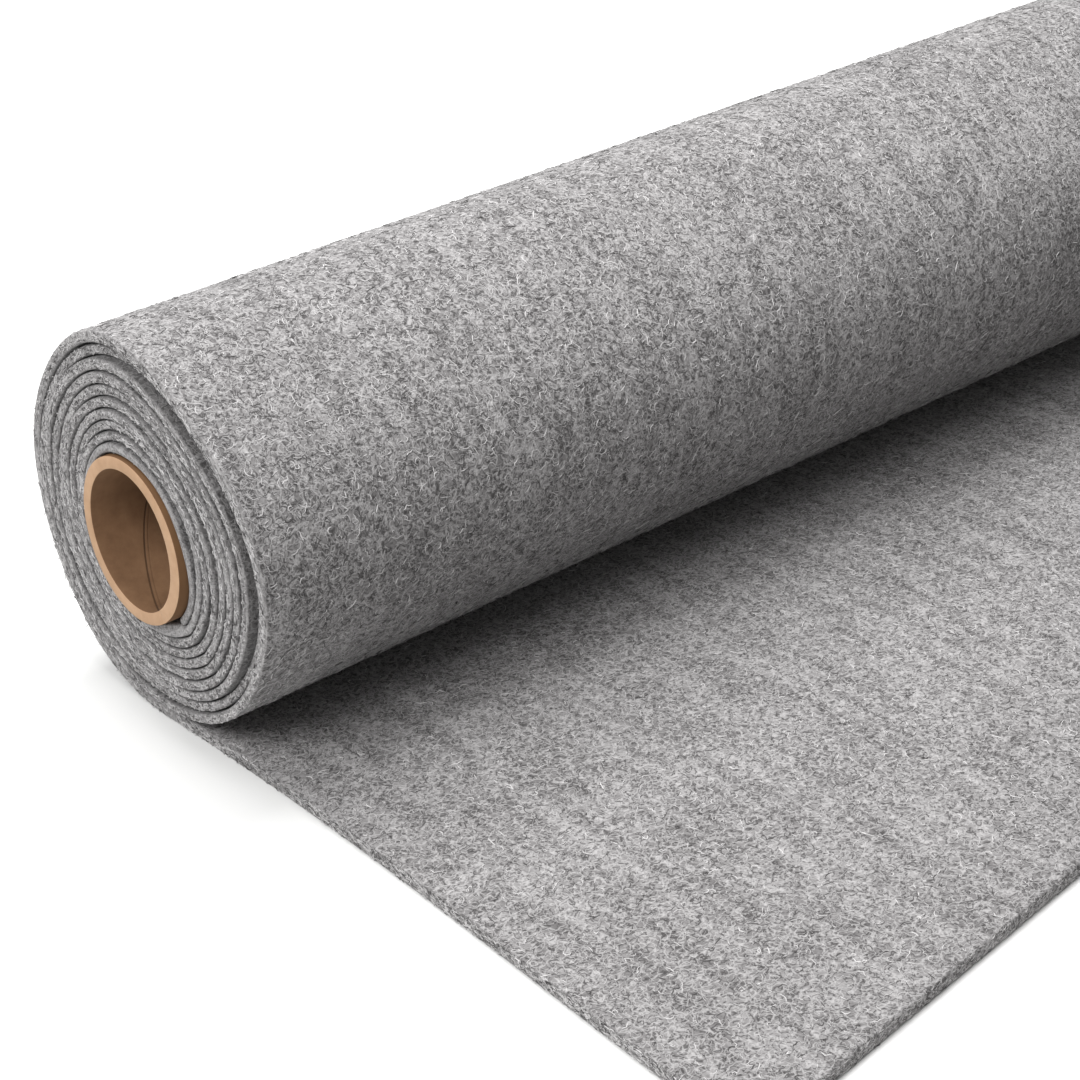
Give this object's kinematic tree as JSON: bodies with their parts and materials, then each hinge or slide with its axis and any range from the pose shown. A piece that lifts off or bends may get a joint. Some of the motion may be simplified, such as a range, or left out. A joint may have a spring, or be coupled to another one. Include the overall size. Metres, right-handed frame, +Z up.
{
  "type": "roll of felt on a cardboard core",
  "caption": "Thick grey heathered felt wound on a brown cardboard core, lying on its side with the loose end rolled out flat.",
  "frame": {"origin": "on the surface that the felt lies on, under the middle of the object's box", "axes": "+X along the core, with the pictured end at -X; +Z up; the loose end reaches towards -Y"},
  "size_m": [1.0122, 0.3626, 0.1439],
  "materials": {
    "felt": "matt, fibrous, heathered grey",
    "core": "matt brown kraft"
  },
  "bodies": {
    "root": {"felt": "felt", "core": "core"}
  },
  "joints": []
}
